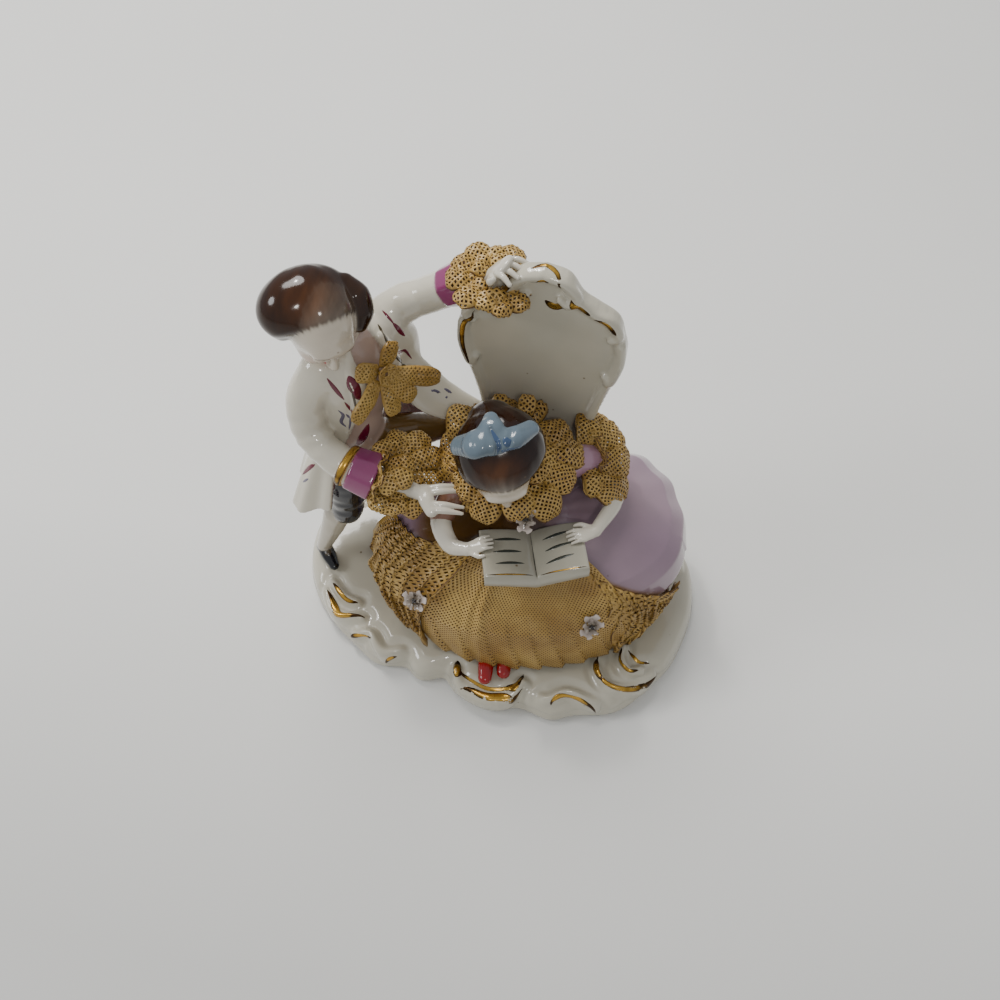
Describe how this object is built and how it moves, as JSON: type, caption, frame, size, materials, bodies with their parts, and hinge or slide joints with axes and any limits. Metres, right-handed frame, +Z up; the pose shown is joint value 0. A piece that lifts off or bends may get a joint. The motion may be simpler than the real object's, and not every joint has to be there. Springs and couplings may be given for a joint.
{
  "type": "porcelain lace figurine group",
  "caption": "Glazed porcelain group on a scrolled oval plinth: a seated lady in a lace dress reads a book by a chair, and a gentleman in a long coat leans over her.",
  "frame": {"origin": "middle of the plinth's flat underside", "axes": "+Z up, -Y towards the front of the group, +X to the seated lady's left side"},
  "size_m": [0.123, 0.0882, 0.1189],
  "materials": {
    "plinth_glaze": "high gloss white glaze with gilt scrolls",
    "chair_glaze": "high gloss white glaze with gilt scrolls",
    "book_glaze": "high gloss white glaze with painted strokes and gilt page edges",
    "lady_paint": "gloss glaze: pale skin, brown hair, lilac-pink dress, red slippers",
    "bow_glaze": "gloss light blue with a darker middle line",
    "gentleman_paint": "gloss glaze: white coat with painted sprays, crimson lining, black breeches and shoes, brown hair",
    "lace": "fired porcelain net in golden tan, satin",
    "flower_glaze": "gloss white and pinkish petals, chipped"
  },
  "bodies": {
    "root": {"base": "plinth_glaze", "chair": "chair_glaze", "book": "book_glaze", "lady": "lady_paint", "hair_bow": "bow_glaze", "gentleman": "gentleman_paint", "lace_skirt": "lace", "lace_side_left": "lace", "lace_side_right": "lace", "lace_collar": "lace", "lace_sleeve_left": "lace", "lace_sleeve_right": "lace", "lace_cuff_right": "lace", "lace_cuff_left": "lace", "lace_jabot": "lace", "flower_left": "flower_glaze", "flower_right": "flower_glaze", "flower_breast": "flower_glaze"}
  },
  "joints": []
}
